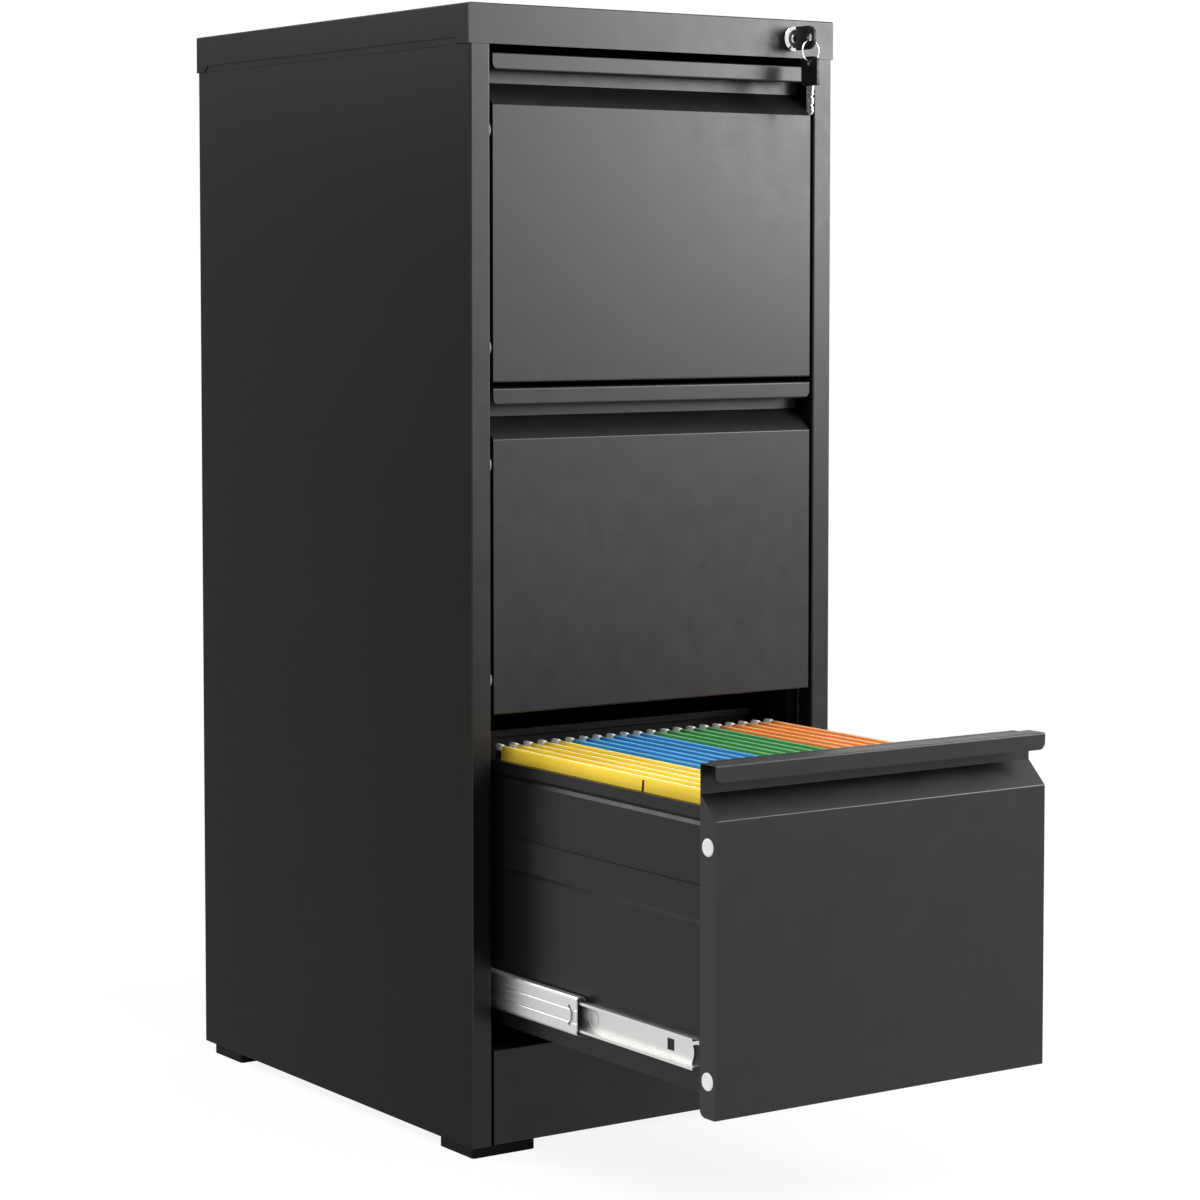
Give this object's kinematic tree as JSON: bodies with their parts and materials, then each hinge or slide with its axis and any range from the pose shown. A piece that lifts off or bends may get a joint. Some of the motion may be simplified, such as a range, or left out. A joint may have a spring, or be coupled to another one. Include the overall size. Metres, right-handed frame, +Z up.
{
  "type": "filing cabinet",
  "caption": "Upright steel filing cabinet with a lipped pull along each drawer front, ball-bearing slides, a barrel lock with keys, and hanging folders in the open bottom drawer.",
  "frame": {"origin": "on the floor, under the middle of the bounding box with the bottom drawer open", "axes": "+X to the right, +Y to the back, +Z up"},
  "size_m": [0.4044, 0.8512, 1.029],
  "materials": {
    "body_paint": "satin charcoal powder coat, fine texture",
    "black_plastic": "black moulded plastic",
    "box_paint": "satin charcoal powder coat",
    "lock_chrome": "polished chrome plate",
    "lock_zinc": "zinc-plated steel",
    "key_nickel": "nickel plate with a dull sheen",
    "slide_steel": "zinc-plated cold-rolled steel",
    "front_paint": "satin charcoal powder coat, fine texture",
    "rail_paint": "black painted steel",
    "plug_plastic": "light grey moulded plastic",
    "cage_steel": "zinc-plated sheet steel",
    "folder_card": "coloured folder card",
    "bar_steel": "bright steel strip"
  },
  "bodies": {
    "cabinet": {"left_side_panel": "body_paint", "right_side_panel": "body_paint", "back_panel": "body_paint", "top_cap": "body_paint", "base_pan": "body_paint", "kick_plate": "body_paint", "feet": "black_plastic", "slide_uprights": "box_paint", "divider_rails": "box_paint", "lock_cylinder": "lock_chrome", "lock_nut": "lock_zinc", "lock_bar_guides": "black_plastic", "drawer_1_slide_cabinet_members": "slide_steel", "drawer_2_slide_cabinet_members": "slide_steel", "drawer_3_slide_cabinet_members": "slide_steel"},
    "drawer_1": {"drawer_1_front": "front_paint", "drawer_1_front_liner": "front_paint", "drawer_1_left_side": "box_paint", "drawer_1_right_side": "box_paint", "drawer_1_floor": "box_paint", "drawer_1_back": "box_paint", "drawer_1_hanging_rails": "rail_paint", "drawer_1_hole_plugs": "plug_plastic", "drawer_1_slide_drawer_members": "slide_steel"},
    "drawer_2": {"drawer_2_front": "front_paint", "drawer_2_front_liner": "front_paint", "drawer_2_left_side": "box_paint", "drawer_2_right_side": "box_paint", "drawer_2_floor": "box_paint", "drawer_2_back": "box_paint", "drawer_2_hanging_rails": "rail_paint", "drawer_2_hole_plugs": "plug_plastic", "drawer_2_slide_drawer_members": "slide_steel"},
    "drawer_3": {"drawer_3_front": "front_paint", "drawer_3_front_liner": "front_paint", "drawer_3_left_side": "box_paint", "drawer_3_right_side": "box_paint", "drawer_3_floor": "box_paint", "drawer_3_back": "box_paint", "drawer_3_hanging_rails": "rail_paint", "drawer_3_hole_plugs": "plug_plastic", "drawer_3_slide_drawer_members": "slide_steel", "hanging_folders": "folder_card", "folder_bars": "bar_steel"},
    "lock": {"lock_plug": "lock_chrome", "lock_cam": "lock_zinc", "key_head": "black_plastic", "key_blade": "key_nickel"},
    "lock_bar": {"lock_bar": "lock_zinc"},
    "drawer_1_slide_outer_cages": {"drawer_1_slide_outer_cages": "cage_steel"},
    "drawer_1_slide_middle_members": {"drawer_1_slide_middle_members": "slide_steel"},
    "drawer_1_slide_inner_cages": {"drawer_1_slide_inner_cages": "cage_steel"},
    "drawer_2_slide_outer_cages": {"drawer_2_slide_outer_cages": "cage_steel"},
    "drawer_2_slide_middle_members": {"drawer_2_slide_middle_members": "slide_steel"},
    "drawer_2_slide_inner_cages": {"drawer_2_slide_inner_cages": "cage_steel"},
    "drawer_3_slide_outer_cages": {"drawer_3_slide_outer_cages": "cage_steel"},
    "drawer_3_slide_middle_members": {"drawer_3_slide_middle_members": "slide_steel"},
    "drawer_3_slide_inner_cages": {"drawer_3_slide_inner_cages": "cage_steel"}
  },
  "joints": [
    {"name": "drawer_1_slide", "type": "slide", "parent": "cabinet", "child": "drawer_1", "axis": [0, -1, 0], "range_m": [0, 0.4]},
    {"name": "drawer_1_slide_outer_cages_travel", "type": "slide", "parent": "cabinet", "child": "drawer_1_slide_outer_cages", "axis": [0, -1, 0], "range_m": [0, 0.1]},
    {"name": "drawer_1_slide_middle_members_travel", "type": "slide", "parent": "cabinet", "child": "drawer_1_slide_middle_members", "axis": [0, -1, 0], "range_m": [0, 0.2]},
    {"name": "drawer_1_slide_inner_cages_travel", "type": "slide", "parent": "cabinet", "child": "drawer_1_slide_inner_cages", "axis": [0, -1, 0], "range_m": [0, 0.3]},
    {"name": "drawer_2_slide", "type": "slide", "parent": "cabinet", "child": "drawer_2", "axis": [0, -1, 0], "range_m": [0, 0.4]},
    {"name": "drawer_2_slide_outer_cages_travel", "type": "slide", "parent": "cabinet", "child": "drawer_2_slide_outer_cages", "axis": [0, -1, 0], "range_m": [0, 0.1]},
    {"name": "drawer_2_slide_middle_members_travel", "type": "slide", "parent": "cabinet", "child": "drawer_2_slide_middle_members", "axis": [0, -1, 0], "range_m": [0, 0.2]},
    {"name": "drawer_2_slide_inner_cages_travel", "type": "slide", "parent": "cabinet", "child": "drawer_2_slide_inner_cages", "axis": [0, -1, 0], "range_m": [0, 0.3]},
    {"name": "drawer_3_slide", "type": "slide", "parent": "cabinet", "child": "drawer_3", "axis": [0, -1, 0], "range_m": [-0.335, 0.065]},
    {"name": "drawer_3_slide_outer_cages_travel", "type": "slide", "parent": "cabinet", "child": "drawer_3_slide_outer_cages", "axis": [0, -1, 0], "range_m": [-0.08375, 0.01625]},
    {"name": "drawer_3_slide_middle_members_travel", "type": "slide", "parent": "cabinet", "child": "drawer_3_slide_middle_members", "axis": [0, -1, 0], "range_m": [-0.1675, 0.0325]},
    {"name": "drawer_3_slide_inner_cages_travel", "type": "slide", "parent": "cabinet", "child": "drawer_3_slide_inner_cages", "axis": [0, -1, 0], "range_m": [-0.25125, 0.04875]},
    {"name": "key_turn", "type": "hinge", "parent": "cabinet", "child": "lock", "pos_m": [0.156, -0.0928, 1.0112], "axis": [0, 1, 0], "range_deg": [0, 90]},
    {"name": "lock_bar_lift", "type": "slide", "parent": "cabinet", "child": "lock_bar", "axis": [0, 0, 1], "range_m": [0, 0.01131]}
  ],
  "couplings": [
    {"joint": "drawer_1_slide_outer_cages_travel", "follows": "drawer_1_slide", "ratio": 0.25},
    {"joint": "drawer_1_slide_middle_members_travel", "follows": "drawer_1_slide", "ratio": 0.5},
    {"joint": "drawer_1_slide_inner_cages_travel", "follows": "drawer_1_slide", "ratio": 0.75},
    {"joint": "drawer_2_slide_outer_cages_travel", "follows": "drawer_2_slide", "ratio": 0.25},
    {"joint": "drawer_2_slide_middle_members_travel", "follows": "drawer_2_slide", "ratio": 0.5},
    {"joint": "drawer_2_slide_inner_cages_travel", "follows": "drawer_2_slide", "ratio": 0.75},
    {"joint": "drawer_3_slide_outer_cages_travel", "follows": "drawer_3_slide", "ratio": 0.25},
    {"joint": "drawer_3_slide_middle_members_travel", "follows": "drawer_3_slide", "ratio": 0.5},
    {"joint": "drawer_3_slide_inner_cages_travel", "follows": "drawer_3_slide", "ratio": 0.75},
    {"joint": "key_turn", "follows": "lock_bar_lift", "rad_per_m": 138.89}
  ]
}
